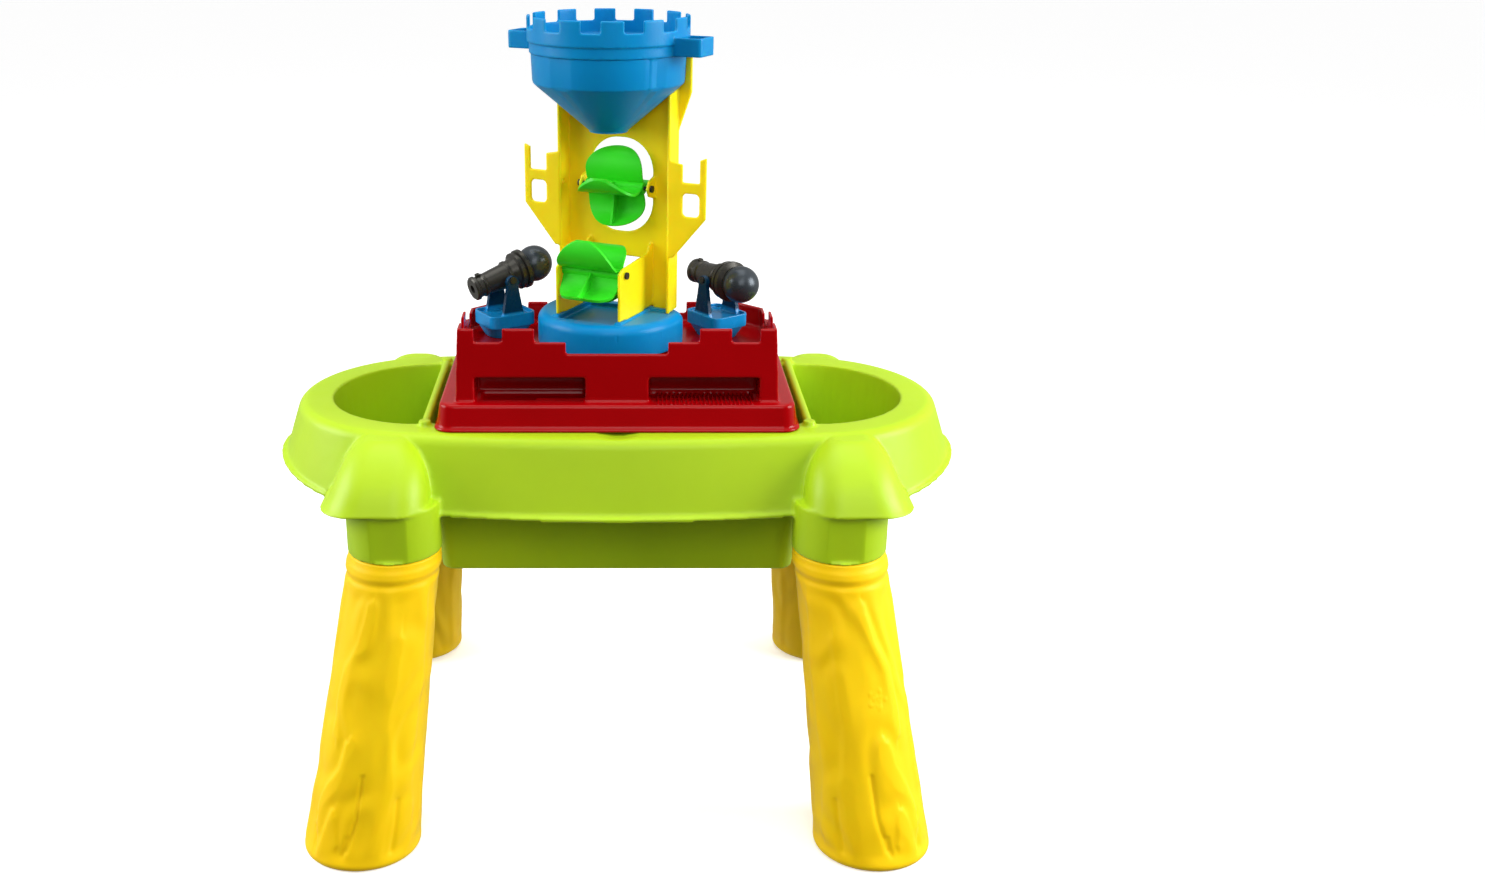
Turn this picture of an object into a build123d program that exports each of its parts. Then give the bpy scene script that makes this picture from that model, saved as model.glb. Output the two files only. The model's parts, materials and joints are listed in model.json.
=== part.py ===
"""Child's sand and water table: a basin on four tree-trunk legs, a castle lid with two toy
cannons, and a sand mill tower with two scoop wheels under a lift-off hopper.

Millimetres, +Z up, origin on the floor under the middle of the basin, front towards -Y.
"""
from build123d import *
import os
from math import cos, radians, sin

os.makedirs("parts", exist_ok=True)

# ---------------------------------------------------------------- driving dimensions
WALL = 3.0              # moulded wall of the basin and legs
THIN = 2.4              # moulded wall of the castle and the tower
RUN = 0.06              # radial running clearance of pins and pivots

# basin
RIM_Z = 307.0           # flat top of the rim
SKIRT_Z = 246.0         # height at which the skirt's lower outline is drawn
END_X = 148.0           # centre of the round ends
WELL_R = 74.0           # radius of the round well ends, half the wells' width
RIM_TOP = (99.0, 110.0)         # end radius and half width of the rim at its top
RIM_LOW = (119.0, 125.5)        # the same at SKIRT_Z
HEM_SIDE_Z = 264.0      # hem of the skirt at the ends
HEM_FRONT_Z = 250.0     # hem of the skirt at the middle of the front
HEM_LIP = 3.5           # outward lip along the hem
PARTITION_X = 142.0     # middle of the walls between the wells
TUB_FLOOR = 191.5
TUB_LOW = (132.0, 72.0)         # half sizes of the tub floor
SIDE_FLOOR = 218.0
SIDE_LOW_R = 67.0
SOCKET = (163.0, 114.0)         # leg socket centre
SOCKET_R = 34.5
SOCKET_Z = 225.0
HOOD_Z, HOOD_TOP = 262.0, 305.5
# hood: height, middle and half size across, middle and half size outwards, corner radius
HOOD_SECTIONS = (
    (HOOD_Z, 175.0, 39.5, 113.0, 38.0, 26.0),
    (267.0, 172.5, 37.0, 112.0, 36.5, 26.0),
    (277.0, 170.5, 34.0, 110.0, 33.5, 25.0),
    (288.0, 169.5, 30.0, 106.5, 28.5, 22.0),
    (298.0, 169.0, 23.5, 101.5, 22.0, 17.0),
    (HOOD_TOP, 168.5, 12.0, 96.5, 12.0, 9.0),
)

# legs
FOOT = (193.0, 160.0)
SPIGOT_R = 31.1
SPIGOT_TOP = 259.0

# castle lid
LID_HALF = (133.0, 94.0)
TERRACE_Z = 327.0
KEEP_X = 118.0
KEEP_FRONT, KEEP_BACK = -85.0, 56.0
DECK_Z = 350.0
FRONT_TOP, FRONT_LOW, GATE_LOW = 382.0, 372.0, 363.6
BACK_TOP, BACK_LOW = 366.0, 357.0
ALCOVE_X, ALCOVE_BACK, ALCOVE_TOP = 104.0, -57.0, 348.0
PILLAR_X = 23.0         # half width of the pillar between the two alcoves

# tower, drawn about its own turning axis: u to its right, v to its front
TOWER_AT = (-7.0, -8.0)
TOWER_TURN = 27.0       # rest position, degrees clockwise from above
BASE_Z, BASE_TOP = 352.0, 376.0
BASE_R = 55.5
PIVOT_R = 16.0
PANEL_V = -22.0         # front face of the upright panel
PANEL_HALF = 47.0
FLANGE_V = -8.0         # front edges of the panel's side flanges
FIN_U, FIN_FRONT = 25.0, 33.0
WHEEL_R, WHEEL_WIDTH = 30.3, 47.0
UPPER_AXLE = (-13.0, 469.0)
LOWER_AXLE = (24.0, 411.0)
AXLE_R = 1.5
HOPPER_V = -2.0
HOPPER_R, HOPPER_TOP = 59.0, 594.0
LOW_RING_R = 57.6         # bead under the hopper's battlements

# cannons: trunnion place, aim in plan (degrees from +X), rise of the muzzle
TRUNNION_Z = 396.0
CANNONS = {"left": (-88.0, 17.0, 212.0, -14.0), "right": (78.0, 14.0, 125.0, 0.0)}
PLATE_TOP = 369.0       # rim of the carriages


def finish(builder, name):
    """Label one finished piece and write it."""
    builder.part.label = name
    export_step(builder.part, f"parts/{name}.step")
    print(f"{name}: {builder.part.volume / 1000:.1f} cm3, {len(builder.part.solids())} solid")


# ---------------------------------------------------------------- basin
def rim_outline(height, end_radius, half_width):
    """Rounded outline: two round ends joined by long arcs that bulge to half_width."""
    long_radius = (END_X**2 + half_width**2 - end_radius**2) / (2 * (half_width - end_radius))
    reach = long_radius - end_radius
    tx = END_X + end_radius * END_X / reach
    ty = end_radius * (long_radius - half_width) / reach
    with BuildSketch(Plane.XY.offset(height)) as outline:
        with BuildLine():
            ThreePointArc((-tx, -ty), (0, -half_width), (tx, -ty))
            ThreePointArc((tx, -ty), (END_X + end_radius, 0), (tx, ty))
            ThreePointArc((tx, ty), (0, half_width), (-tx, ty))
            ThreePointArc((-tx, ty), (-END_X - end_radius, 0), (-tx, -ty))
        make_face()
    return outline.sketch


def side_outline(height, side, start_x, radius):
    """D-shaped outline of one end well."""
    with BuildSketch(Plane.XY.offset(height)) as outline:
        with BuildLine():
            Line((side * start_x, -radius), (side * END_X, -radius))
            ThreePointArc((side * END_X, -radius), (side * (END_X + radius), 0), (side * END_X, radius))
            Line((side * END_X, radius), (side * start_x, radius))
            Line((side * start_x, radius), (side * start_x, -radius))
        make_face()
    return outline.sketch


def tub_outline(height, half_x, half_y, corner):
    """Rounded rectangle of the middle tub."""
    with BuildSketch(Plane.XY.offset(height)) as outline:
        RectangleRounded(2 * half_x, 2 * half_y, corner)
    return outline.sketch


def hood_plan(side, end, section, thinner, height):
    """Plan of the hood at one height, thinner by part of the wall."""
    _, across, half_x, out_y, half_y, corner = section
    with BuildSketch(Plane.XY.offset(height)) as plan:
        with Locations((side * across, end * out_y)):
            RectangleRounded(2 * (half_x - thinner), 2 * (half_y - thinner), corner - thinner)
    return plan.sketch


def hood_solid(side, end, thinner):
    """Bell-shaped roof over one leg socket, leaning in towards the rim."""
    sections = []
    for section in HOOD_SECTIONS:
        drop = thinner * (section[0] - HOOD_Z) / (HOOD_TOP - HOOD_Z)
        sections.append(hood_plan(side, end, section, thinner, section[0] - drop))
    with BuildPart() as hood:
        loft(sections)
    return hood.part


def ridge_solid(side):
    """Round-topped ridge on one wall between the wells, a knob at each end."""
    with BuildPart() as ridge:
        with Locations((side * PARTITION_X, 0, RIM_Z - 1.5)):
            Box(5.6, 2 * WELL_R + 6, 5, align=(Align.CENTER, Align.CENTER, Align.MIN))
        fillet(ridge.edges().group_by(Axis.Z)[-1], 2.2)
        with Locations(*[(side * PARTITION_X, end * (WELL_R + 4), RIM_Z - 1.5) for end in (-1, 1)]):
            Cylinder(4.6, 5.5, align=(Align.CENTER, Align.CENTER, Align.MIN))
    return ridge.part


hem_rise = HEM_SIDE_Z - HEM_FRONT_Z
hem_half = RIM_LOW[1] - 1.5
hem_radius = (hem_half**2 + hem_rise**2) / (2 * hem_rise)
corners = [(side, end) for side in (-1, 1) for end in (-1, 1)]
skirt_inner_top = (RIM_TOP[0] - WALL, RIM_TOP[1] - WALL)
skirt_inner_low = (RIM_LOW[0] - WALL, RIM_LOW[1] - WALL)

with BuildPart() as hem:
    extrude(rim_outline(SKIRT_Z, RIM_LOW[0] - 6 + HEM_LIP, RIM_LOW[1] - 1.5 + HEM_LIP), amount=24)
    with Locations(Location((0, 0, HEM_SIDE_Z - hem_radius), (0, 90, 0))):
        Cylinder(hem_radius + 3, 600, mode=Mode.INTERSECT)

with BuildPart() as hull:
    loft([rim_outline(SKIRT_Z, *RIM_LOW), rim_outline(RIM_Z, *RIM_TOP)])
    fillet(hull.edges().group_by(Axis.Z)[-1], 9)
    add(hem.part)
    with Locations(Location((0, 0, HEM_SIDE_Z - hem_radius), (0, 90, 0))):
        Cylinder(hem_radius, 620, mode=Mode.SUBTRACT)
    for side, end in corners:
        extrude(hood_plan(side, end, HOOD_SECTIONS[0], 0, HOOD_Z - 20), amount=20, mode=Mode.SUBTRACT)
        add(hood_solid(side, end, 0))

with BuildPart() as mid_wall:
    loft([
        rim_outline(SKIRT_Z, RIM_LOW[0] - WALL / 2, RIM_LOW[1] - WALL / 2),
        rim_outline(RIM_Z - WALL / 2, RIM_TOP[0] - WALL / 2 - 2, RIM_TOP[1] - WALL / 2 - 2),
    ])
    for side, end in corners:
        add(hood_solid(side, end, WALL / 2))

with BuildPart() as socket_tops:
    with Locations(*[(side * SOCKET[0], end * SOCKET[1], HOOD_Z - 3) for side, end in corners]):
        Cylinder(SOCKET_R, 43, align=(Align.CENTER, Align.CENTER, Align.MIN))
    add(mid_wall.part, mode=Mode.INTERSECT)

with BuildPart() as basin:
    add(hull.part)
    loft(
        [rim_outline(SKIRT_Z - 1, *skirt_inner_low), rim_outline(RIM_Z - WALL, *skirt_inner_top)],
        mode=Mode.SUBTRACT,
    )
    for side, end in corners:
        add(hood_solid(side, end, WALL), mode=Mode.SUBTRACT)
    # leg sockets
    add(socket_tops.part)
    with Locations(*[(side * SOCKET[0], end * SOCKET[1], SOCKET_Z) for side, end in corners]):
        Cylinder(SOCKET_R, SPIGOT_TOP + 4.5 - SOCKET_Z, align=(Align.CENTER, Align.CENTER, Align.MIN))
    # outsides of the three wells, then their hollows
    loft([
        tub_outline(TUB_FLOOR - WALL, TUB_LOW[0] + WALL, TUB_LOW[1] + WALL, 12),
        tub_outline(RIM_Z - 1, PARTITION_X + 1, WELL_R + WALL, 9),
    ])
    for side in (-1, 1):
        loft([
            side_outline(SIDE_FLOOR - WALL, side, PARTITION_X - 3, SIDE_LOW_R + WALL),
            side_outline(RIM_Z - 1, side, PARTITION_X - 3, WELL_R + WALL),
        ])
    loft(
        [
            tub_outline(TUB_FLOOR, *TUB_LOW, 10),
            tub_outline(RIM_Z + 0.5, PARTITION_X - WALL, WELL_R, 6),
        ],
        mode=Mode.SUBTRACT,
    )
    for side in (-1, 1):
        loft(
            [
                side_outline(SIDE_FLOOR, side, PARTITION_X + WALL + 1, SIDE_LOW_R),
                side_outline(RIM_Z + 0.5, side, PARTITION_X + WALL, WELL_R),
            ],
            mode=Mode.SUBTRACT,
        )
    # raised ridges on the walls between the wells, with a knob at each end
    for side in (-1, 1):
        add(ridge_solid(side))
    # finger scoop in the front rim under the edge of the lid
    with Locations((0, -LID_HALF[1], RIM_Z + 62)):
        Sphere(64, mode=Mode.SUBTRACT)
    with Locations(*[(side * SOCKET[0], end * SOCKET[1], SOCKET_Z - 1) for side, end in corners]):
        Cylinder(
            SPIGOT_R + 0.1, SPIGOT_TOP + 2 - SOCKET_Z,
            align=(Align.CENTER, Align.CENTER, Align.MIN), mode=Mode.SUBTRACT,
        )
    # flat panel sunk into the front of each socket
    with Locations(*[(side * (SOCKET[0] + 4), end * (SOCKET[1] + SOCKET_R), 243.5) for side, end in corners]):
        Box(38, 5.4, 34, mode=Mode.SUBTRACT)
finish(basin, "basin")


# ---------------------------------------------------------------- legs
def leg_centre(height):
    """Middle of the trunk at a height: straight down and outwards from the socket to the foot."""
    down = 1 - height / SOCKET_Z
    return [SOCKET[i] + (FOOT[i] - SOCKET[i]) * down for i in (0, 1)]


def trunk(side, end, heights, thinner):
    """Tapered trunk through round sections, thinner by the wall for its hollow."""
    sections = []
    for height, across, along in heights:
        centre = leg_centre(height)
        with BuildSketch(Plane.XY.offset(height)) as section:
            with Locations((side * centre[0], end * centre[1])):
                Ellipse(across - thinner, along - thinner)
        sections.append(section.sketch)
    with BuildPart() as solid:
        loft(sections)
    return solid.part


LEG_SECTIONS = ((0, 44, 40), (70, 40, 38.5), (150, 36.5, 36.4), (SOCKET_Z, 34, 33.9))
HOLLOW_SECTIONS = ((5, 43, 39), (90, 39, 37.5), (SOCKET_Z - 8, 34, 33.8))
for side, end in corners:
    leg_name = f"leg_{'front' if end < 0 else 'rear'}_{'left' if side < 0 else 'right'}"
    with BuildPart() as leg:
        add(trunk(side, end, LEG_SECTIONS, 0))
        fillet(leg.edges().group_by(Axis.Z)[0], 6)
        add(trunk(side, end, HOLLOW_SECTIONS, WALL), mode=Mode.SUBTRACT)
        with Locations((side * SOCKET[0], end * SOCKET[1], SOCKET_Z - 1)):
            Cylinder(SPIGOT_R, SPIGOT_TOP - SOCKET_Z + 1, align=(Align.CENTER, Align.CENTER, Align.MIN))
        with Locations((side * SOCKET[0], end * SOCKET[1], SOCKET_Z - 12)):
            Cylinder(
                SPIGOT_R - WALL, SPIGOT_TOP - SOCKET_Z + 20,
                align=(Align.CENTER, Align.CENTER, Align.MIN), mode=Mode.SUBTRACT,
            )
    finish(leg, leg_name)


# ---------------------------------------------------------------- castle lid
def block(x0, x1, y0, y1, z0, z1, mode=Mode.ADD):
    """Upright block between two corners, inside the builder that is open."""
    with Locations(((x0 + x1) / 2, (y0 + y1) / 2, (z0 + z1) / 2)):
        Box(x1 - x0, y1 - y0, z1 - z0, mode=mode)


def keep_outline(height, inset):
    """Plan of the castle's upper storey, its two rear corners cut off."""
    cut = 20.0
    x, y0, y1 = KEEP_X - inset, KEEP_FRONT + inset, KEEP_BACK - inset
    with BuildSketch(Plane.XY.offset(height)) as outline:
        with BuildLine():
            Polyline((-x, y0), (x, y0), (x, y1 - cut), (x - cut, y1), (cut - x, y1), (-x, y1 - cut), close=True)
        make_face()
    return outline.sketch


with BuildPart() as castle_lid:
    loft([tub_outline(RIM_Z, *LID_HALF, 12), tub_outline(TERRACE_Z, LID_HALF[0] - 3, LID_HALF[1] - 3, 10)])
    fillet(castle_lid.edges().group_by(Axis.Z)[-1], 2.5)
    extrude(tub_outline(RIM_Z, LID_HALF[0] + 1.4, LID_HALF[1] + 1.4, 13), amount=2.2)
    loft([keep_outline(TERRACE_Z - 1, 0), keep_outline(FRONT_TOP, 2.6)])
    # hollow inside, open below
    loft(
        [
            tub_outline(RIM_Z, LID_HALF[0] - THIN, LID_HALF[1] - THIN, 10),
            tub_outline(TERRACE_Z - THIN, LID_HALF[0] - 3 - THIN, LID_HALF[1] - 3 - THIN, 8),
        ],
        mode=Mode.SUBTRACT,
    )
    loft([keep_outline(RIM_Z + 4, THIN), keep_outline(DECK_Z - THIN, THIN + 1)], mode=Mode.SUBTRACT)
    # floor and back of the alcove between the front towers
    block(-ALCOVE_X - THIN, ALCOVE_X + THIN, KEEP_FRONT + THIN, ALCOVE_BACK + THIN, TERRACE_Z - 6, DECK_Z - 0.5)
    for x0, x1 in ((-ALCOVE_X, -PILLAR_X), (PILLAR_X, ALCOVE_X)):
        block(x0, x1, KEEP_FRONT - 6, ALCOVE_BACK, TERRACE_Z, ALCOVE_TOP - THIN, Mode.SUBTRACT)
    block(
        -ALCOVE_X - THIN, ALCOVE_X + THIN, KEEP_FRONT + THIN, ALCOVE_BACK + THIN + 1,
        RIM_Z - 1, TERRACE_Z - 6, Mode.SUBTRACT,
    )
    for side in (-1, 1):
        block(
            min(side * 24, side * 100), max(side * 24, side * 100), KEEP_FRONT + 7, ALCOVE_BACK - 1.5,
            TERRACE_Z - 3, TERRACE_Z + 1, Mode.SUBTRACT,
        )
    for step in range(15):
        block(30.0 + 4.6 * step, 31.6 + 4.6 * step, KEEP_FRONT + 7, ALCOVE_BACK - 1.5, TERRACE_Z - 3.2, TERRACE_Z - 2)
    # open deck inside the walls
    loft([keep_outline(DECK_Z, THIN + 1.1), keep_outline(FRONT_TOP + 1, THIN + 2.6)], mode=Mode.SUBTRACT)
    # battlements: gateway, steps and slots in front, lower walls behind
    front = (KEEP_FRONT - 5, KEEP_FRONT + 9)
    block(-37, 37, *front, GATE_LOW, 400, Mode.SUBTRACT)
    block(-59.6, 59.6, *front, FRONT_LOW, 400, Mode.SUBTRACT)
    for side in (-1, 1):
        block(side * 93.2 - 10.2, side * 93.2 + 10.2, *front, FRONT_LOW, 400, Mode.SUBTRACT)
        for slot_y in (-58.0, -26.0):
            block(side * KEEP_X - 9, side * KEEP_X + 9, slot_y - 7.5, slot_y + 7.5, FRONT_LOW, 400, Mode.SUBTRACT)
    block(-130, 130, -18.5, 60, BACK_TOP, 400, Mode.SUBTRACT)
    block(-130, 130, 3, 18, BACK_LOW, 400, Mode.SUBTRACT)
    for slot_x in (-80, -48, -16, 16, 48, 80):
        block(slot_x - 8, slot_x + 8, KEEP_BACK - 16, KEEP_BACK + 4, BACK_LOW, 400, Mode.SUBTRACT)
    # low sand tray sunk into the rear terrace
    block(-96, 96, 64, 85, TERRACE_Z - 2, TERRACE_Z + 1)
    block(-94, 94, 66, 83, TERRACE_Z - 1, TERRACE_Z + 1.2, Mode.SUBTRACT)
    # turning seats of the tower and the two cannons
    with Locations((*TOWER_AT, DECK_Z - 0.2)):
        Cylinder(45, BASE_Z - DECK_Z + 0.2, align=(Align.CENTER, Align.CENTER, Align.MIN))
        Cylinder(PIVOT_R, BASE_Z - DECK_Z + 12, align=(Align.CENTER, Align.CENTER, Align.MIN))
        Cylinder(
            PIVOT_R - THIN, BASE_Z - DECK_Z + 13,
            align=(Align.CENTER, Align.CENTER, Align.MIN), mode=Mode.SUBTRACT,
        )
    with Locations(*[(place[0], place[1], DECK_Z - 0.2) for place in CANNONS.values()]):
        Cylinder(5, 8.2, align=(Align.CENTER, Align.CENTER, Align.MIN))
    # ribs under the terrace that drop into the tub and stop the lid sliding
    for end in (-1, 1):
        block(-60, 60, end * 71.5 - 1.2, end * 71.5 + 1.2, RIM_Z - 8, TERRACE_Z - 1)
finish(castle_lid, "castle_lid")

# ---------------------------------------------------------------- tower planes
turn = radians(TOWER_TURN)
TO_RIGHT = Vector(cos(turn), -sin(turn), 0)
TO_FRONT = Vector(-sin(turn), -cos(turn), 0)
TOWER = Plane(origin=(*TOWER_AT, 0), x_dir=TO_RIGHT, z_dir=(0, 0, 1))   # x = u, y = -v
FACE = Plane(origin=(*TOWER_AT, 0), x_dir=TO_RIGHT, z_dir=TO_FRONT)     # x = u, y = height
SIDE = Plane(origin=(*TOWER_AT, 0), x_dir=TO_FRONT, z_dir=-TO_RIGHT)    # x = v, y = height


def at_tower(u, v, height):
    """Point of the tower in the shared frame."""
    return Vector(*TOWER_AT, height) + TO_RIGHT * u + TO_FRONT * v


def hopper_outline(radius, height):
    """Section of the hopper's many-sided lower part."""
    with BuildSketch(TOWER.offset(height)) as outline:
        with Locations((0, -HOPPER_V)):
            RegularPolygon(radius, 18, rotation=10)
    return outline.sketch


SPOUT_R, SPOUT_Z = 14.8, 511.0
CONE = ((SPOUT_R, 512.5), (55.4, 547.0), (56.3, 568.0))


def hopper_outside(gap):
    """Closed outside of the hopper, larger by a gap, to cut its seat in the panel."""
    with BuildPart() as outside:
        loft([hopper_outline(radius + gap, height - gap) for radius, height in CONE[:2]])
        loft([hopper_outline(radius + gap, height - gap) for radius, height in CONE[1:]])
        with BuildSketch(TOWER.offset(CONE[2][1] - gap)):
            with Locations((0, -HOPPER_V)):
                Circle(HOPPER_R + gap)
        extrude(amount=40)
    return outside.part


# ---------------------------------------------------------------- tower base
def base_outline(height, inset):
    """Half-moon plan: round front, straight short sides, rounded rear corners."""
    radius, corner = BASE_R - inset, 18.0 - inset
    arc_v, side_v, back_v = -4.0, -13.0, -31.0 + inset
    bend = corner * (1 - sin(radians(45)))
    with BuildSketch(TOWER.offset(height)) as outline:
        with BuildLine():
            ThreePointArc((-radius, -arc_v), (0, -arc_v - radius), (radius, -arc_v))
            Line((radius, -arc_v), (radius, -side_v))
            ThreePointArc((radius, -side_v), (radius - bend, -back_v - bend), (radius - corner, -back_v))
            Line((radius - corner, -back_v), (corner - radius, -back_v))
            ThreePointArc((corner - radius, -back_v), (bend - radius, -back_v - bend), (-radius, -side_v))
            Line((-radius, -side_v), (-radius, -arc_v))
        make_face()
    return outline.sketch


with BuildPart() as tower_base:
    extrude(base_outline(BASE_Z, 0), amount=BASE_TOP - BASE_Z)
    fillet(tower_base.edges().group_by(Axis.Z)[-1], 7)
    extrude(base_outline(BASE_Z, THIN), amount=BASE_TOP - BASE_Z - 8, mode=Mode.SUBTRACT)
    with BuildSketch(TOWER.offset(BASE_Z)):
        Circle(PIVOT_R + THIN)
    extrude(amount=BASE_TOP - BASE_Z - 7)
    with BuildSketch(TOWER.offset(BASE_Z)):
        Circle(PIVOT_R + RUN)
    extrude(amount=13, mode=Mode.SUBTRACT)
    # sand tray under the lower wheel, ridge behind it and posts that hold the fins
    with BuildSketch(TOWER.offset(BASE_TOP)):
        with Locations((0, -9)):
            RectangleRounded(2 * FIN_U - 2, 54, 3)
    extrude(amount=-3.5, mode=Mode.SUBTRACT)
    with BuildSketch(TOWER.offset(BASE_TOP - 1)):
        with Locations((-FIN_U - 1.2, -6.5), (FIN_U + 1.2, -6.5)):
            Rectangle(5.4, 57)
        with Locations((-35.4, 16.5), (35.4, 16.5)):
            Rectangle(17, 5)
    extrude(amount=2.6)
    # slots that the panel's tabs press into
    with BuildSketch(TOWER.offset(BASE_TOP - 5)):
        with Locations((-36, -PANEL_V + 1.2), (36, -PANEL_V + 1.2)):
            Rectangle(16.2, THIN + 0.2)
        with Locations((-FIN_U - 1.1, -8), (FIN_U + 1.1, -8)):
            Rectangle(2.3, 30.2)
    extrude(amount=9, mode=Mode.SUBTRACT)
    # joints of the moulded stone blocks round the front
    with BuildSketch(TOWER.offset(BASE_TOP - 11)):
        with Locations((0, 4)):
            with PolarLocations(BASE_R, 13, start_angle=186, angular_range=168):
                Rectangle(1.0, 0.8)
    extrude(amount=12, mode=Mode.SUBTRACT)
finish(tower_base, "tower_base")

# ---------------------------------------------------------------- tower panel
WING = ((46, 420), (50, 420), (76, 451), (76, 496), (71, 494), (71, 477), (57, 477), (57, 490), (46, 492))
with BuildPart() as tower_panel:
    with BuildSketch(FACE.offset(PANEL_V)):
        with BuildLine():
            Polyline(
                (-47, 377.6), (47, 377.6), (47, 512), (57, 540), (57, 568),
                (-57, 568), (-57, 540), (-47, 512), close=True,
            )
        make_face()
        with Locations((-36, 375), (36, 375)):
            Rectangle(16, 8)
        with Locations((0, 468.5)):
            RectangleRounded(53, 71, 24, mode=Mode.SUBTRACT)
        with Locations((0, 390)):
            Rectangle(2 * FIN_U, 48, mode=Mode.SUBTRACT)
    extrude(amount=-THIN)
    # side flanges, standing forward from the panel's edges
    for side in (-1, 1):
        with BuildSketch(SIDE.offset(-side * (PANEL_HALF - THIN / 2))):
            with BuildLine():
                Polyline((-22.5, 377.6), (FLANGE_V - 1, 376.1), (FLANGE_V, 540), (FLANGE_V, 560), (-22.5, 560), close=True)
            make_face()
        extrude(amount=THIN / 2, both=True)
    # notched wings beside the flanges, level with their front edges, that hold the tools
    with BuildSketch(FACE.offset(FLANGE_V)):
        for side in (-1, 1):
            with BuildLine():
                Polyline(*[(side * u, height) for u, height in WING], close=True)
            make_face()
        with Locations((-64, 460.5), (64, 460.5)):
            RectangleRounded(13.6, 17, 3.5, mode=Mode.SUBTRACT)
    extrude(amount=-THIN)
    # fins that carry the lower wheel
    for side in (-1, 1):
        with BuildSketch(SIDE.offset(-side * (FIN_U + 1.1))):
            with BuildLine():
                Polyline(
                    (-22.5, 377.6), (-7, 377.6), (-7, 371.5), (23, 371.5), (23, 377.6), (FIN_FRONT, 377.6),
                    (FIN_FRONT, 413.5), (FIN_FRONT - 5, 416.5), (-14, 420), (-18, 426), (-22.5, 426), close=True,
                )
            make_face()
        extrude(amount=1.1, both=True)
    # ears that carry the upper wheel, beside the window
    for side in (-1, 1):
        with BuildSketch(SIDE.offset(-side * (FIN_U + 3.2))):
            with BuildLine():
                Polyline((-23, 460), (-12, 463), (-8.5, 469), (-12, 475), (-23, 478), close=True)
            make_face()
        extrude(amount=1.1, both=True)
    with BuildSketch(SIDE):
        with Locations(UPPER_AXLE, LOWER_AXLE):
            Circle(AXLE_R + 0.02)
    extrude(amount=60, both=True, mode=Mode.SUBTRACT)
    add(hopper_outside(0.25), mode=Mode.SUBTRACT)
finish(tower_panel, "tower_panel")

# ---------------------------------------------------------------- scoop wheels
with BuildPart() as scoop:
    with BuildSketch():
        with BuildLine():
            ThreePointArc((3, -0.9), (17, -8.4), (WHEEL_R, -0.9))
            Line((WHEEL_R, -0.9), (WHEEL_R - 0.6, 0.9))
            ThreePointArc((WHEEL_R - 0.6, 0.9), (17, -6.5), (3, 0.9))
            Line((3, 0.9), (3, -0.9))
        make_face()
    extrude(amount=WHEEL_WIDTH / 2, both=True)
    with BuildSketch(Plane.XZ):
        with Locations((5, 0)):
            Rectangle(10.2, WHEEL_WIDTH)
        with Locations((10, 0)):
            Ellipse(WHEEL_R - 10, WHEEL_WIDTH / 2)
    extrude(amount=14, both=True, mode=Mode.INTERSECT)

with BuildPart() as scoop_rib:
    with BuildSketch():
        with BuildLine():
            ThreePointArc((3, -0.4), (17, -7), (WHEEL_R - 1.5, -0.6))
            ThreePointArc((WHEEL_R - 1.5, -0.6), (15, 0.2), (3, 2.5))
            Line((3, 2.5), (3, -0.4))
        make_face()
    extrude(amount=0.8, both=True)


def wheel(axle, first_blade, name, pin_half):
    """One four-scoop wheel and the pin it turns on."""
    plane = Plane(origin=at_tower(0, axle[0], axle[1]), x_dir=TO_FRONT, z_dir=-TO_RIGHT)
    with BuildPart(plane) as body:
        Cylinder(4.2, WHEEL_WIDTH + 1)
        with PolarLocations(0, 4, start_angle=first_blade):
            add(scoop.part)
            add(scoop_rib.part)
        Cylinder(AXLE_R + RUN, WHEEL_WIDTH + 4, mode=Mode.SUBTRACT)
    finish(body, f"{name}_wheel")
    with BuildPart(plane) as pin:
        Cylinder(AXLE_R, 2 * pin_half)
        for end in (-1, 1):
            with Locations((0, 0, end * (pin_half - 0.6))):
                Cylinder(2.6, 1.6)
    finish(pin, f"{name}_axle")


wheel(UPPER_AXLE, 18, "upper", FIN_U + 6)
wheel(LOWER_AXLE, 61, "lower", FIN_U + 3.9)

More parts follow.
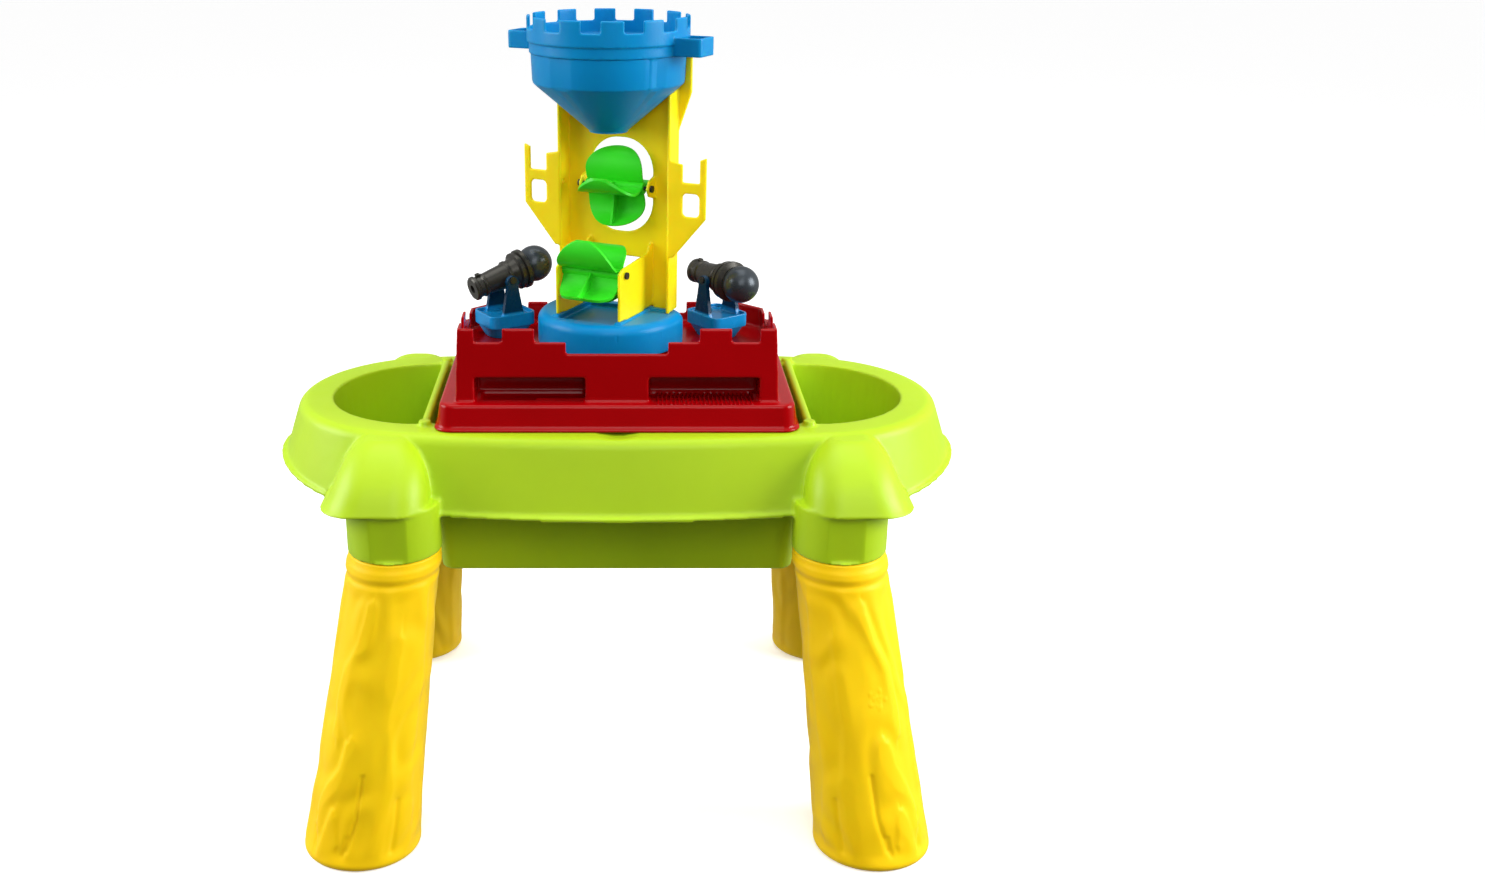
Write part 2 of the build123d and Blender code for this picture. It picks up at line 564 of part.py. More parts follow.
# ---------------------------------------------------------------- hopper
with BuildPart() as hopper:
    for (low_r, low_z), (high_r, high_z) in zip(CONE, CONE[1:]):
        loft([hopper_outline(low_r, low_z), hopper_outline(high_r, high_z)])
    with BuildSketch(TOWER.offset(SPOUT_Z)):
        with Locations((0, -HOPPER_V)):
            Circle(SPOUT_R - 0.4)
    extrude(amount=6)
    for ring_r, ring_z, ring_h in ((LOW_RING_R, 568, 8.0), (HOPPER_R, 576, HOPPER_TOP - 576)):
        with BuildSketch(TOWER.offset(ring_z)):
            with Locations((0, -HOPPER_V)):
                Circle(ring_r)
        extrude(amount=ring_h)
    inner = [hopper_outline(radius - THIN, height + 1.0) for radius, height in CONE]
    loft(inner[:2], mode=Mode.SUBTRACT)
    loft(inner[1:], mode=Mode.SUBTRACT)
    with BuildSketch(TOWER.offset(569)):
        with Locations((0, -HOPPER_V)):
            Circle(LOW_RING_R - THIN)
    extrude(amount=8, mode=Mode.SUBTRACT)
    with BuildSketch(TOWER.offset(576)):
        with Locations((0, -HOPPER_V)):
            Circle(HOPPER_R - THIN)
    extrude(amount=30, mode=Mode.SUBTRACT)
    with BuildSketch(TOWER.offset(SPOUT_Z - 1)):
        with Locations((0, -HOPPER_V)):
            Circle(SPOUT_R - 0.4 - THIN)
    extrude(amount=8, mode=Mode.SUBTRACT)
    # battlements round the mouth
    with BuildSketch(TOWER.offset(585.5)):
        with Locations((0, -HOPPER_V)):
            with PolarLocations(HOPPER_R - 1, 12, start_angle=15):
                Rectangle(12, 14.2)
    extrude(amount=12, mode=Mode.SUBTRACT)
    # tool loops, one each side
    with BuildSketch(TOWER.offset(568.3)):
        for side in (-1, 1):
            with Locations((side * (HOPPER_R + 8.3), -HOPPER_V)):
                RectangleRounded(22, 24, 3)
            with Locations((side * (HOPPER_R + 8.6), -HOPPER_V)):
                RectangleRounded(16.6, 19.4, 1.2, mode=Mode.SUBTRACT)
        with Locations((0, -HOPPER_V)):
            Circle(HOPPER_R - 1.6, mode=Mode.SUBTRACT)
    extrude(amount=12.7)
finish(hopper, "hopper")

# ---------------------------------------------------------------- cannons
BALL_BACK, BALL_R = 28.0, 14.0      # breech ball, and how far behind the trunnion it sits
MUZZLE_AT = 28.0                    # muzzle face, ahead of the trunnion
BARREL = (                          # radius, distance ahead of the trunnion
    (3.2, 20), (3.2, MUZZLE_AT), (8.4, MUZZLE_AT), (9.4, 27), (9.4, 25), (8.2, 23.8), (8.2, 20.4),
    (9.2, 19.6), (9.2, 18), (8.5, 17), (9.9, -1), (11.2, -1.6), (11.2, -3.4), (10.4, -4.2),
    (11.6, -9.6), (14.6, -10.4), (14.6, -12.6), (13.2, -13.2), (13.2, -14.4), (15.4, -15),
    (15.4, -18), (12, -20), (0, -20), (0, 20),
)


def cannon(name, x, y, aim, rise):
    """Barrel with its trunnion pin, breech ball, and carriage, at one place on the deck."""
    along = Vector(cos(radians(aim)), sin(radians(aim)), 0)
    across = Vector(-along.Y, along.X, 0)
    up = radians(rise)
    bore = along * cos(up) + Vector(0, 0, sin(up))
    section = Plane(origin=(x, y, TRUNNION_Z), x_dir=across, z_dir=across.cross(bore))
    with BuildPart() as barrel:
        with BuildSketch(section):
            with BuildLine():
                Polyline(*BARREL, close=True)
            make_face()
        revolve(axis=Axis((x, y, TRUNNION_Z), bore))
        with BuildSketch(Plane(origin=(x, y, TRUNNION_Z), x_dir=along, z_dir=across)):
            Circle(2.6)
        extrude(amount=16.4, both=True)
        with BuildSketch(Plane(origin=Vector(x, y, TRUNNION_Z) + bore * 20, x_dir=across, z_dir=bore)):
            with Locations((0, 9.4)):
                Circle(1.5)
        extrude(amount=3)
        with Locations(Vector(x, y, TRUNNION_Z) - bore * BALL_BACK):
            Sphere(BALL_R + 0.02, mode=Mode.SUBTRACT)
    finish(barrel, f"{name}_barrel")
    with BuildPart() as ball:
        with Locations(Vector(x, y, TRUNNION_Z) - bore * BALL_BACK):
            Sphere(BALL_R)
    finish(ball, f"{name}_breech_ball")
    deck = Plane(origin=(x, y, DECK_Z), x_dir=along, z_dir=(0, 0, 1))
    cheek = Plane(origin=(x, y, 0), x_dir=along, z_dir=-across)
    with BuildPart() as carriage:
        with BuildSketch(deck):
            RectangleRounded(30, 26, 11)
        with BuildSketch(deck.offset(9)):
            RectangleRounded(38, 33, 9)
        loft()
        with BuildSketch(deck.offset(9)):
            RectangleRounded(39, 34, 6)
        extrude(amount=PLATE_TOP - DECK_Z - 9)
        with BuildSketch(deck.offset(PLATE_TOP - DECK_Z)):
            RectangleRounded(35.4, 30.4, 4.2)
        extrude(amount=-2.8, mode=Mode.SUBTRACT)
        for hand in (-1, 1):
            with BuildSketch(cheek.offset(hand * 13.4)):
                with BuildLine():
                    Polyline((-11, 364), (11, 364), (8.6, 370), (4.4, 392), (-4.4, 392), (-8.6, 370), close=True)
                make_face()
                with Locations((0, TRUNNION_Z - 2)):
                    Circle(5.2)
            extrude(amount=1.9, both=True)
        with BuildSketch(cheek):
            with Locations((0, TRUNNION_Z)):
                Circle(2.6 + RUN)
        extrude(amount=20, both=True, mode=Mode.SUBTRACT)
        with BuildSketch(deck):
            Circle(5 + RUN)
        extrude(amount=8.4, mode=Mode.SUBTRACT)
    finish(carriage, f"{name}_carriage")


for side_name, place in CANNONS.items():
    cannon(side_name, *place)
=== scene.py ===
"""Looks of the sand and water table: moulded plastics, tree-bark legs, studio light and camera."""
import json
from math import atan2, cos, exp, pi, radians, sin

import bmesh
import bpy
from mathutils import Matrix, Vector, noise


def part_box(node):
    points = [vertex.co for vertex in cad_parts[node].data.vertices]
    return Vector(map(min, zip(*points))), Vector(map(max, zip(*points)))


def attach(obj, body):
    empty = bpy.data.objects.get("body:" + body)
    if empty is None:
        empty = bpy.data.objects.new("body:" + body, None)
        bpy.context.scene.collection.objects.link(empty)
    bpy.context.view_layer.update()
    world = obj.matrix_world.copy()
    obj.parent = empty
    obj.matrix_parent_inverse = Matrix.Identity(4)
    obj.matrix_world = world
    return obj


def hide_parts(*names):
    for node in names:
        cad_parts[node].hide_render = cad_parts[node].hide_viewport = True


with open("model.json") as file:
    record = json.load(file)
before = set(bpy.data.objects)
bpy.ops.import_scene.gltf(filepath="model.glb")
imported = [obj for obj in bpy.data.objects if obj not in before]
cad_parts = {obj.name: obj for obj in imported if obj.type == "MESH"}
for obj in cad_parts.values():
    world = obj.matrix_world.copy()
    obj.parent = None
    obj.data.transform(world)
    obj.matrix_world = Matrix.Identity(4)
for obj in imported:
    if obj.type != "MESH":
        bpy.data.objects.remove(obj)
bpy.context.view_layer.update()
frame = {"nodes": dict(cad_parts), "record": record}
nodes = frame["nodes"]
scene = bpy.context.scene
MM = 0.001

# ---------------------------------------------------------------- camera
PHOTO_WIDTH = 1485
FOCAL_PIXELS = 1500
camera_data = bpy.data.cameras.new("camera")
camera_data.sensor_width = 36
camera_data.lens = FOCAL_PIXELS * camera_data.sensor_width / PHOTO_WIDTH
camera_data.shift_x = 125.5 / PHOTO_WIDTH
camera = bpy.data.objects.new("camera", camera_data)
camera.location = (0, -1.121, 0.681)
camera.rotation_euler = (radians(90 - 20.5), 0, 0)
scene.collection.objects.link(camera)
scene.camera = camera

# ---------------------------------------------------------------- light and floor
scene.view_settings.view_transform = "Standard"


def studio_world():
    """White studio: bright above, behind and at the sides, dim in front of and below the table."""
    world = bpy.data.worlds.new("studio")
    world.use_nodes = True
    tree = world.node_tree
    where = tree.nodes.new("ShaderNodeTexCoord")
    axes = tree.nodes.new("ShaderNodeSeparateXYZ")
    tree.links.new(where.outputs["Generated"], axes.inputs["Vector"])

    def ramp(axis, low, high, dark, bright):
        """Smooth change of strength along one axis of the view direction."""
        node = tree.nodes.new("ShaderNodeMapRange")
        node.interpolation_type = "SMOOTHSTEP"
        node.inputs["From Min"].default_value = low
        node.inputs["From Max"].default_value = high
        node.inputs["To Min"].default_value = dark
        node.inputs["To Max"].default_value = bright
        tree.links.new(axes.outputs[axis], node.inputs["Value"])
        return node.outputs["Result"]

    def combine(operation, first, second):
        """Two strengths made into one."""
        node = tree.nodes.new("ShaderNodeMath")
        node.operation = operation
        tree.links.new(first, node.inputs[0])
        tree.links.new(second, node.inputs[1])
        return node.outputs["Value"]

    around = combine("MAXIMUM", ramp("Y", -0.75, 0.1, 0.10, 0.9), ramp("Z", 0.25, 0.95, 0.0, 0.8))
    lower = combine("MULTIPLY", around, ramp("Z", -0.35, 0.05, 0.6, 1.0))
    total = combine("MULTIPLY", lower, ramp("Y", 0.25, 0.9, 1.0, 0.5))
    tree.links.new(total, tree.nodes["Background"].inputs["Strength"])
    tree.nodes["Background"].inputs["Color"].default_value = (1, 1, 1, 1)
    scene.world = world


def area_light(name, place, aim, size, power):
    """Soft square light at a place, turned towards a point."""
    data = bpy.data.lights.new(name, "AREA")
    data.size = size
    data.energy = power
    light = bpy.data.objects.new(name, data)
    light.location = place
    light.rotation_euler = (Vector(aim) - Vector(place)).to_track_quat("-Z", "Y").to_euler()
    scene.collection.objects.link(light)


studio_world()
area_light("top", (0, 0.15, 1.9), (0, 0, 0.3), 1.2, 10)
area_light("key", (0.3, -1.5, 1.9), (0, 0, 0.25), 1.1, 4)
area_light("fill", (0.1, -1.8, 1.25), (0, 0, 0.2), 1.0, 9)
area_light("side_right", (1.4, -0.4, 0.85), (0, 0, 0.4), 0.8, 24)
area_light("side_left", (-1.5, -0.15, 0.9), (0, 0, 0.4), 0.9, 18)


FLOOR_HALF = 30
WALL_R, WALL_TALL = 28, 40


def staged(name, outline, base, emission):
    """Part of the room from a filled bmesh; the table neither gets light from it nor mirrors it."""
    mesh = bpy.data.meshes.new(name)
    outline.to_mesh(mesh)
    outline.free()
    piece = bpy.data.objects.new(name, mesh)
    scene.collection.objects.link(piece)
    piece.visible_diffuse = False
    piece.visible_glossy = False
    material = bpy.data.materials.new(name)
    material.use_nodes = True
    shader = material.node_tree.nodes["Principled BSDF"]
    shader.inputs["Base Color"].default_value = (base, base, base, 1)
    shader.inputs["Emission Color"].default_value = (1, 1, 1, 1)
    shader.inputs["Emission Strength"].default_value = emission
    mesh.materials.append(material)
    return piece, shader


def make_floor():
    """Pale floor, a little bright of itself so that it stays white far away."""
    grid = bmesh.new()
    bmesh.ops.create_grid(grid, x_segments=1, y_segments=1, size=FLOOR_HALF)
    _, shader = staged("floor", grid, 0.97, 0.34)
    shader.inputs["Roughness"].default_value = 0.9


def make_backdrop():
    """White wall far round the floor, so that low views end in white too."""
    wall = bmesh.new()
    bmesh.ops.create_cone(wall, cap_ends=False, segments=96, radius1=WALL_R, radius2=WALL_R, depth=WALL_TALL)
    backdrop, shader = staged("backdrop", wall, 0, 1)
    backdrop.visible_transmission = False
    backdrop.visible_shadow = False
    shader.inputs["Specular IOR Level"].default_value = 0


make_floor()
make_backdrop()


# ---------------------------------------------------------------- plastics
MOTTLE_CELLS, WEAR_CELLS, GRAIN_CELLS = 9.0, 60, 700     # noise scales, per metre
GRAIN_DEPTH = 0.2 * MM
SCATTER_REACH = (0.012, 0.008, 0.004)


def noise_node(tree, place, scale, detail):
    """Noise in the part's own coordinates."""
    node = tree.nodes.new("ShaderNodeTexNoise")
    node.inputs["Scale"].default_value = scale
    node.inputs["Detail"].default_value = detail
    tree.links.new(place.outputs["Object"], node.inputs["Vector"])
    return node


def painted_shade_above(tree, place, paint, height, deep):
    """Painted shade: the paint turns to a darker colour above a height of the part, where its upright cheeks
    stand.
    """
    axes = tree.nodes.new("ShaderNodeSeparateXYZ")
    tree.links.new(place.outputs["Object"], axes.inputs["Vector"])
    above = tree.nodes.new("ShaderNodeMapRange")
    above.inputs["From Min"].default_value = height - MM
    above.inputs["From Max"].default_value = height + MM
    tree.links.new(axes.outputs["Z"], above.inputs["Value"])
    painted_shade_mix = tree.nodes.new("ShaderNodeMix")
    painted_shade_mix.data_type = "RGBA"
    factor, first, second = (painted_shade_mix.inputs[i] for i in (0, 6, 7))     # the RGBA set of sockets
    tree.links.new(above.outputs["Result"], factor)
    tree.links.new(paint, first)
    # the darker colour is painted shade
    second.default_value = (*deep, 1)
    return painted_shade_mix.outputs[2]


def plastic(
    name, colour, deeper, roughness, grain=0.25, scatter=0.0, metallic=0.0, coat=0.0, shine=0.3, shaded_uprights=None
):
    """Moulded plastic: mottled colour between two tones, uneven gloss, a fine moulded grain and, where asked,
    painted shade above a height.
    """
    material = bpy.data.materials.new(name)
    material.use_nodes = True
    tree = material.node_tree
    shader = tree.nodes["Principled BSDF"]
    place = tree.nodes.new("ShaderNodeTexCoord")
    mottle = noise_node(tree, place, MOTTLE_CELLS, 5)
    tones = tree.nodes.new("ShaderNodeValToRGB")
    tones.color_ramp.elements[0].position = 0.3
    tones.color_ramp.elements[0].color = (*deeper, 1)
    tones.color_ramp.elements[1].position = 0.7
    tones.color_ramp.elements[1].color = (*colour, 1)
    tree.links.new(mottle.outputs["Fac"], tones.inputs["Fac"])
    paint = tones.outputs["Color"]
    # painted shade: above the given height the colour is made darker, standing in for shade on the upright cheeks
    if shaded_uprights:
        paint = painted_shade_above(tree, place, paint, *shaded_uprights)
    tree.links.new(paint, shader.inputs["Base Color"])
    wear = noise_node(tree, place, WEAR_CELLS, 6)
    gloss = tree.nodes.new("ShaderNodeMapRange")
    gloss.inputs["To Min"].default_value = roughness - 0.06
    gloss.inputs["To Max"].default_value = roughness + 0.1
    tree.links.new(wear.outputs["Fac"], gloss.inputs["Value"])
    tree.links.new(gloss.outputs["Result"], shader.inputs["Roughness"])
    skin = noise_node(tree, place, GRAIN_CELLS, 2)
    bump = tree.nodes.new("ShaderNodeBump")
    bump.inputs["Strength"].default_value = grain
    bump.inputs["Distance"].default_value = GRAIN_DEPTH
    tree.links.new(skin.outputs["Fac"], bump.inputs["Height"])
    tree.links.new(bump.outputs["Normal"], shader.inputs["Normal"])
    shader.inputs["Metallic"].default_value = metallic
    shader.inputs["Specular IOR Level"].default_value = shine
    shader.inputs["Coat Weight"].default_value = coat
    shader.inputs["Coat Roughness"].default_value = 0.12
    if scatter:
        shader.inputs["Subsurface Weight"].default_value = scatter
        shader.inputs["Subsurface Radius"].default_value = SCATTER_REACH
        shader.inputs["Subsurface Scale"].default_value = 0.5
    return material


# slot: the two tones, roughness, then what differs from the defaults
PLASTICS = {
    "lime_plastic": ((0.43, 0.64, 0.011), (0.38, 0.58, 0.008), 0.38, {"scatter": 0.15}),
    "yellow_leg_plastic": ((1.0, 0.66, 0.004), (1.0, 0.61, 0.002), 0.42, {"scatter": 0.2, "shine": 0.2}),
    "yellow_plastic": ((1.0, 0.76, 0.008), (1.0, 0.70, 0.005), 0.33, {"scatter": 0.8}),
    "red_plastic": ((0.38, 0.0, 0.002), (0.31, 0.0, 0.001), 0.16, {"grain": 0.1, "coat": 0.15, "shine": 0.12}),
    "blue_plastic": ((0.002, 0.25, 0.56), (0.001, 0.21, 0.50), 0.3, {"scatter": 0.3, "shine": 0.15}),
    "green_plastic": ((0.04, 0.70, 0.02), (0.03, 0.62, 0.014), 0.3, {"scatter": 0.1, "shine": 0.2}),
    # navy carriage: painted shade makes it darker above 0.3702 m, on its upright cheeks
    "navy_plastic": ((0.006, 0.26, 0.60), (0.004, 0.22, 0.52), 0.24,
                     {"coat": 0.2, "shine": 0.15, "shaded_uprights": (0.3702, (0.002, 0.035, 0.085))}),
    "gunmetal_plastic": ((0.052, 0.050, 0.042), (0.042, 0.040, 0.034), 0.26, {"grain": 0.06, "metallic": 0.5}),
    "silver_blue_plastic": ((0.050, 0.060, 0.070), (0.042, 0.051, 0.060), 0.26, {"grain": 0.06, "metallic": 0.45}),
    "steel_pin": ((0.06, 0.06, 0.065), (0.04, 0.04, 0.045), 0.4, {"metallic": 0.8}),
}
MATERIALS = {
    slot: plastic(slot, colour, deeper, roughness, **rest)
    for slot, (colour, deeper, roughness, rest) in PLASTICS.items()
}
for part in frame["record"]["subparts"]:
    piece = nodes[part["node"]]
    piece.data.materials.clear()
    piece.data.materials.append(MATERIALS[part["material_slot"]])


# ---------------------------------------------------------------- rounded mouldings
def soften(name, cell, rounds, keep):
    """Moulded edges: even skin over the part, relaxed, then thinned out again."""
    piece = nodes[name]
    skin = piece.modifiers.new("skin", "REMESH")
    skin.mode = "VOXEL"
    skin.voxel_size = cell
    skin.use_smooth_shade = True
    relax = piece.modifiers.new("relax", "SMOOTH")
    relax.factor = 0.5
    relax.iterations = rounds
    thin = piece.modifiers.new("thin", "DECIMATE")
    thin.ratio = keep


# node: cell of the skin in mm, rounds of relaxing, share of the faces kept
ROUNDED = {
    "basin": (1.3, 4, 0.35),
    "castle_lid": (0.95, 6, 0.35),
    "tower_base": (0.7, 5, 0.4),
    "tower_panel": (0.65, 3, 0.4),
    "hopper": (0.7, 3, 0.4),
    "left_carriage": (0.45, 3, 0.5),
    "right_carriage": (0.45, 3, 0.5),
}
for node, (cell, rounds, keep) in ROUNDED.items():
    soften(node, cell * MM, rounds, keep)


# ---------------------------------------------------------------- mesh helpers
def piece_from(name, mesh, body, slot, *replaced):
    """Object of a finished mesh that moves with a body and wears the slot's plastic."""
    for polygon in mesh.polygons:
        polygon.use_smooth = True
    mesh.materials.append(MATERIALS[slot])
    piece = bpy.data.objects.new(name, mesh)
    scene.collection.objects.link(piece)
    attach(piece, body)
    if replaced:
        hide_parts(*replaced)
    return piece


def ring_faces(count, steps, total):
    """Quads between each of the first steps rings and the ring after it, of count points each."""
    faces = []
    for i in range(steps):
        here, after = i * count, (i + 1) % total * count
        for j in range(count):
            beside = (j + 1) % count
            faces.append((here + j, here + beside, after + beside, after + j))
    return faces


def ring_mesh(name, rings, joined=False):
    """Closed mesh through rings of equal point counts: the ends are capped, or joined to each other."""
    mesh = bpy.data.meshes.new(name)
    count, total = len(rings[0]), len(rings)
    faces = ring_faces(count, total if joined else total - 1, total)
    if not joined:
        faces.append(tuple(range(count - 1, -1, -1)))
        faces.append(tuple(range((total - 1) * count, total * count)))
    mesh.from_pydata([point for ring in rings for point in ring], [], faces)
    mesh.update()
    return mesh


def smooth_step(value, low, high):
    """0 below low, 1 above high, smooth between."""
    t = min(1, max(0, (value - low) / (high - low)))
    return t * t * (3 - 2 * t)


# ---------------------------------------------------------------- tree-trunk legs
SOCKET_Z = 0.225            # bottom of the basin's leg sockets
LEG_FOOT, LEG_TOP = (0.193, 0.160), (0.163, 0.114)      # middle of the leg on the floor and at the socket
# height, half size across and half size along of the trunk
LEG_STATIONS = ((0, 0.044, 0.040), (0.070, 0.040, 0.0385), (0.150, 0.0365, 0.0364), (SOCKET_Z, 0.034, 0.0339))
LEG_COLUMNS, LEG_ROWS = 200, 190
LEG_REACH = 0.038           # mean radius, turns an angle into a distance on the bark
FOOT_EDGE = 0.006           # rounding of the foot
BARK_MOST = 0.0004          # how far the bark may stand out from the plain trunk
BEAD_MOST = 0.0008
NECK = ((0.0311, SOCKET_Z - 0.0001), (0.0311, 0.2575))  # radius and height of the part in the socket
NECK_TIP_R = 0.0300
FLOWER_ANGLE, FLOWER_Z = -1.22, 0.128
# bark lines of one leg: points (angle from the outer side, negative towards the outer end; height), half width,
# and height of the ridge, or depth of the groove when negative
BARK = (
    (((-2.60, 0.020), (-2.45, 0.075), (-2.62, 0.140), (-2.50, 0.205)), 0.0034, 0.0011),
    (((-1.95, 0.010), (-2.05, 0.060), (-1.88, 0.110), (-1.98, 0.170)), 0.0040, 0.0013),
    (((-1.30, 0.196), (-1.18, 0.168), (-0.86, 0.148), (-0.80, 0.120), (-0.84, 0.100)), 0.0030, 0.0015),
    (((-1.16, 0.094), (-1.08, 0.076), (-0.84, 0.060), (-0.70, 0.046), (-0.64, 0.030)), 0.0028, 0.0019),
    (((-0.20, 0.014), (-0.34, 0.070), (-0.20, 0.120), (-0.28, 0.200)), 0.0046, 0.0012),
    (((0.45, 0.200), (0.34, 0.150), (0.52, 0.100), (0.40, 0.020)), 0.0040, 0.0013),
    (((1.05, 0.012), (1.20, 0.070), (1.02, 0.130), (1.12, 0.200)), 0.0036, 0.0011),
    (((1.85, 0.205), (1.72, 0.150), (1.90, 0.090), (1.76, 0.018)), 0.0042, 0.0013),
    (((2.62, 0.012), (2.50, 0.080), (2.68, 0.150), (2.56, 0.206)), 0.0036, 0.0011),
    (((-1.02, 0.044), (-0.94, 0.034), (-0.80, 0.010)), 0.0022, 0.0012),
    (((-1.16, 0.020), (-1.06, 0.040)), 0.0020, 0.0011),
    (((-0.60, 0.036), (-0.70, 0.008)), 0.0020, -0.0010),
    (((-1.52, 0.072), (-1.50, 0.040), (-1.38, 0.016)), 0.0016, -0.0012),
    (((-1.36, 0.026), (-1.32, 0.012)), 0.0014, -0.0010),
    (((1.50, 0.060), (1.44, 0.020)), 0.0018, -0.0011),
    (((-2.25, 0.050), (-2.20, 0.012)), 0.0018, -0.0011),
)


def line_distance(x, y, points):
    """Distance from (x, y) to a run of straight pieces, and the side of the nearest piece it lies on."""
    best, side = 1.0, 1.0
    for (ax, ay), (bx, by) in zip(points, points[1:]):
        dx, dy = bx - ax, by - ay
        t = min(1, max(0, ((x - ax) * dx + (y - ay) * dy) / (dx * dx + dy * dy)))
        gap = ((x - ax - t * dx) ** 2 + (y - ay - t * dy) ** 2) ** 0.5
        if gap < best:
            best, side = gap, 1.0 if dx * (y - ay) - dy * (x - ax) > 0 else -1.0
    return best, side


def bark_runs():
    """Bark lines as distances on the skin, each with the box it can be felt in."""
    runs = []
    for points, half_width, rise in BARK:
        run = [(angle * LEG_REACH, height) for angle, height in points]
        across, up = zip(*run)
        margin = 8 * half_width
        box = (min(across) - margin, max(across) + margin, min(up) - margin, max(up) + margin)
        runs.append((run, half_width, rise, box))
    return runs


def bark_relief(angle, height, runs, seed):
    """Height of the bark above the plain trunk: broad wavy lobes, fine ripples and the bark lines."""
    wave = noise.noise(Vector((cos(angle) * 1.3, sin(angle) * 1.3, height * 16 + seed)))
    lobes = sin(5 * angle + 9 * wave + 14 * height + seed)
    relief = -0.0010 + 0.0005 * lobes + 0.0004 * wave
    relief += 0.00014 * noise.noise(Vector((angle * 4.5, height * 26, seed)))
    for points, half_width, rise, (left, right, low, high) in runs:
        if not (left < angle * LEG_REACH < right and low < height < high):
            continue
        gap, side = line_distance(angle * LEG_REACH, height, points)
        width = half_width * (1.0 if side > 0 or rise < 0 else 2.6)
        if gap < 3 * width:
            relief += rise * exp(-((gap / width) ** 2))
    return relief


def flower_relief(angle, height):
    """Small five-petal flower moulded on one trunk."""
    x, y = (angle - FLOWER_ANGLE) * LEG_REACH, height - FLOWER_Z
    petal = 0.0042 + 0.0030 * cos(5 * atan2(y, x) + 0.6)
    return 0.0007 * exp(-((((x * x + y * y) ** 0.5 - petal) / 0.0007) ** 2))


def trunk_size(height):
    """Half sizes across and along of the plain trunk at a height."""
    for (z0, across0, along0), (z1, across1, along1) in zip(LEG_STATIONS, LEG_STATIONS[1:]):
        if height <= z1:
            t = (height - z0) / (z1 - z0)
            return across0 + t * (across1 - across0), along0 + t * (along1 - along0)


def leg_mesh(name, side, end, seed, flower):
    """Closed trunk: bark from the floor to the socket, a bead ring, and the neck in the socket."""
    neck_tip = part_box(name)[1].z
    foot = Vector((side * LEG_FOOT[0], end * LEG_FOOT[1], 0))
    top = Vector((side * LEG_TOP[0], end * LEG_TOP[1], SOCKET_Z))
    angles = [2 * pi * column / LEG_COLUMNS - pi for column in range(LEG_COLUMNS)]
    runs = bark_runs()
    rings = []
    for row in range(LEG_ROWS + 1):
        height = (SOCKET_Z - 0.0002) * row / LEG_ROWS
        across, along = trunk_size(height)
        centre = foot.lerp(top, height / SOCKET_Z)
        tuck = FOOT_EDGE - (FOOT_EDGE**2 - (FOOT_EDGE - height) ** 2) ** 0.5 if height < FOOT_EDGE else 0
        fade = smooth_step(height, 0.004, 0.014) * (1 - smooth_step(height, 0.196, 0.210))
        # bead ring under the socket, with a groove below it
        bead = 0.0014 * exp(-(((height - 0.2165) / 0.0030) ** 2))
        bead -= 0.0010 * exp(-(((height - 0.2095) / 0.0022) ** 2))
        ring = []
        for angle in angles:
            relief = bark_relief(angle, height, runs, seed)
            if flower and abs(angle - FLOWER_ANGLE) < 0.35 and abs(height - FLOWER_Z) < 0.012:
                relief += flower_relief(angle, height)
            grow = fade * min(relief, BARK_MOST) + min(bead, BEAD_MOST) - tuck
            # angle 0 faces outwards along X, -pi / 2 faces the outer Y side
            ring.append((
                centre.x + side * (across + grow) * cos(angle),
                centre.y - end * (along + grow) * sin(angle),
                height,
            ))
        rings.append(ring)
    for radius, height in (*NECK, (NECK_TIP_R, neck_tip)):
        rings.append([
            (top.x + side * radius * cos(angle), top.y - end * radius * sin(angle), height) for angle in angles
        ])
    if side * end > 0:      # mirrored legs run the other way round
        rings = [ring[::-1] for ring in rings]
    return ring_mesh(name + "_bark", rings)


for number, (side, end) in enumerate(((-1, -1), (1, -1), (-1, 1), (1, 1))):
    leg = f"leg_{'front' if end < 0 else 'rear'}_{'left' if side < 0 else 'right'}"
    mesh = leg_mesh(leg, side, end, 1.7 * number, number == 1)
    piece_from(leg + "_bark", mesh, "table", "yellow_leg_plastic", leg)


# ---------------------------------------------------------------- ribs of the right alcove
TERRACE_Z = 0.327
RIB_COUNT, RIB_START, RIB_STEP, RIB_WIDTH = 23, 0.030, 0.0031, 0.0012
RIB_FRONT, RIB_BACK = -0.0895, -0.0640
RIB_STEPS = 8               # straight pieces round a rib


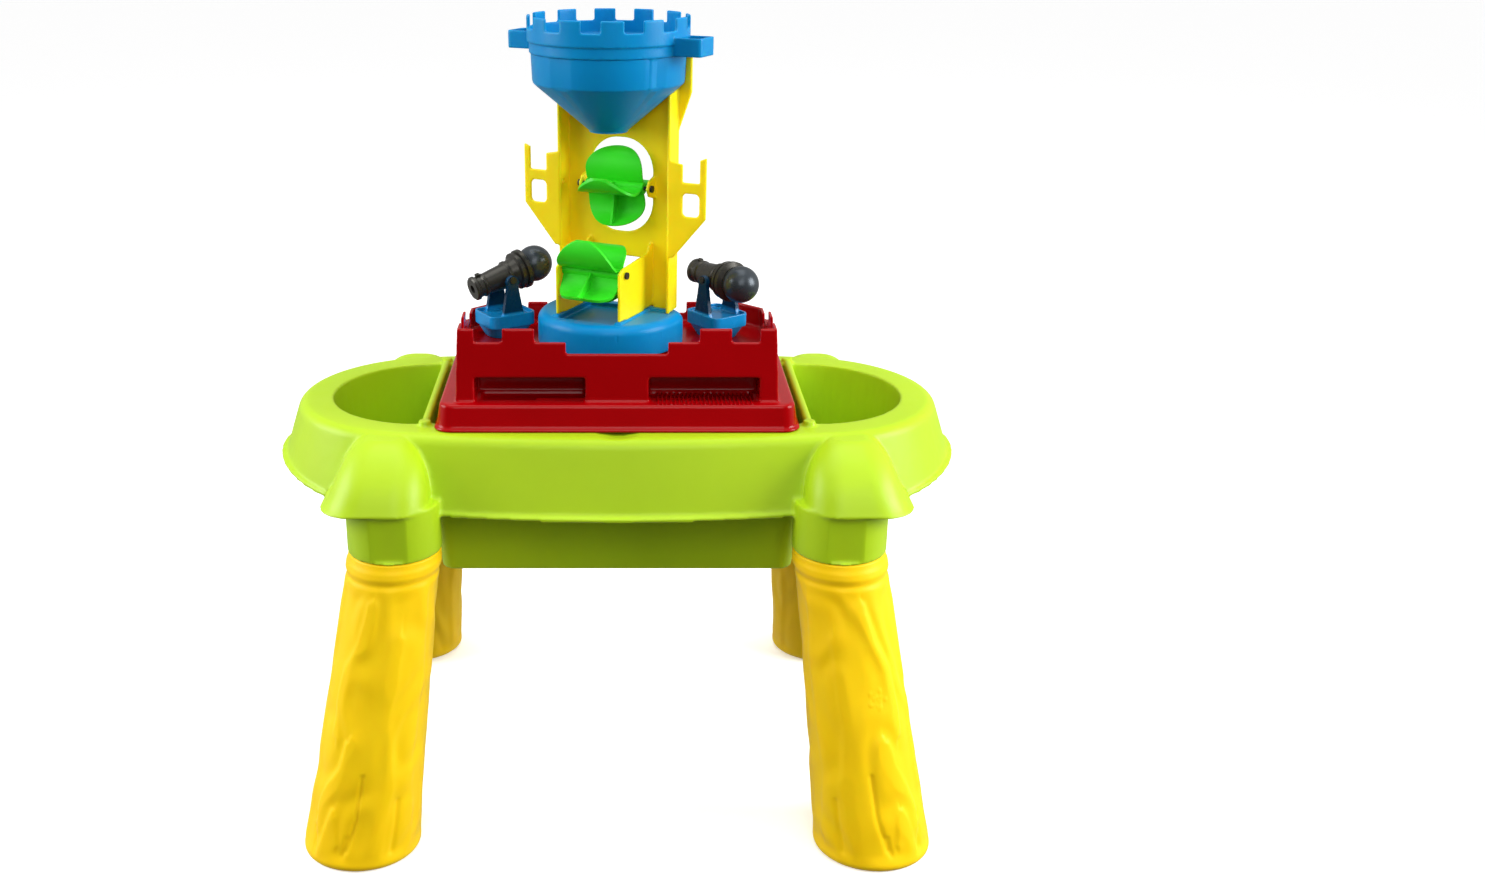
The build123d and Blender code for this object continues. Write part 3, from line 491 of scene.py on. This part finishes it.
def rounded_bars(name, bars, width, body, slot):
    """Low rounded ribs, each from a start to an end point, half as high as wide."""
    bars_mesh = bmesh.new()
    for start, end in bars:
        start, end = Vector(start), Vector(end)
        along = (end - start).normalized()
        across = along.cross(Vector((0, 0, 1))).normalized()
        up = across.cross(along)
        tip = along * width * 0.4
        loops = []
        for place, reach in ((start - tip, 0.4), (start, 1.0), (end, 1.0), (end + tip, 0.4)):
            radius = width / 2 * reach
            loops.append([
                bars_mesh.verts.new(place + across * cos(turn) * radius + up * sin(turn) * radius)
                for turn in (pi * step / RIB_STEPS for step in range(RIB_STEPS + 1))
            ])
        for first, second in zip(loops, loops[1:]):
            for step in range(-1, RIB_STEPS):
                bars_mesh.faces.new((first[step], first[step + 1], second[step + 1], second[step]))
        bars_mesh.faces.new(loops[0][::-1])
        bars_mesh.faces.new(loops[-1])
    bmesh.ops.recalc_face_normals(bars_mesh, faces=bars_mesh.faces)
    mesh = bpy.data.meshes.new(name)
    bars_mesh.to_mesh(mesh)
    bars_mesh.free()
    piece_from(name, mesh, body, slot)


rib_places = [RIB_START + RIB_STEP * step for step in range(RIB_COUNT)]
ribs = [((x, RIB_FRONT, TERRACE_Z), (x, RIB_BACK, TERRACE_Z)) for x in rib_places]
rounded_bars("alcove_ribs", ribs, RIB_WIDTH, "castle", "red_plastic")


# ---------------------------------------------------------------- hopper wall
# height and radius of the skin, from the cone's lower end to the bead under the battlements
SLEEVE = ((0.5128, 0.0151), (0.5452, 0.0535), (0.5468, 0.0550), (0.5486, 0.0556), (0.5676, 0.0564))
SLEEVE_WALL = 0.0016
SLEEVE_COLUMNS = 288
FLATS = (-0.65, 0.65)       # directions of the two flat panels, from the front
FLAT_HALF = 0.165
FLAT_LOW = 0.5465           # the flats stand above the cone


def flat_share(angle, height):
    """Radius at a direction as a share of the round one: less on the flat panels."""
    turned = (angle + pi) % (2 * pi) - pi
    for flat in FLATS:
        if abs(turned - flat) < FLAT_HALF and height > FLAT_LOW:
            return cos(FLAT_HALF) / cos(turned - flat)
    return 1.0


def hopper_sleeve():
    """Round outer skin of the hopper's lower wall and cone, with a flat panel left and right of the front."""
    low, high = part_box("hopper")
    x, y = (low.x + high.x) / 2, (low.y + high.y) / 2
    rings = []
    for rows, inward in ((SLEEVE, 0.0), (SLEEVE[::-1], SLEEVE_WALL)):
        for height, radius in rows:
            ring = []
            for column in range(SLEEVE_COLUMNS):
                angle = 2 * pi * column / SLEEVE_COLUMNS
                r = (radius - inward) * flat_share(angle, height)
                ring.append((x + r * sin(angle), y - r * cos(angle), height))
            rings.append(ring)
    mesh = ring_mesh("hopper_sleeve", rings, joined=True)
    piece_from("hopper_sleeve", mesh, "hopper", "blue_plastic")
    mesh.set_sharp_from_angle(angle=radians(20))


hopper_sleeve()
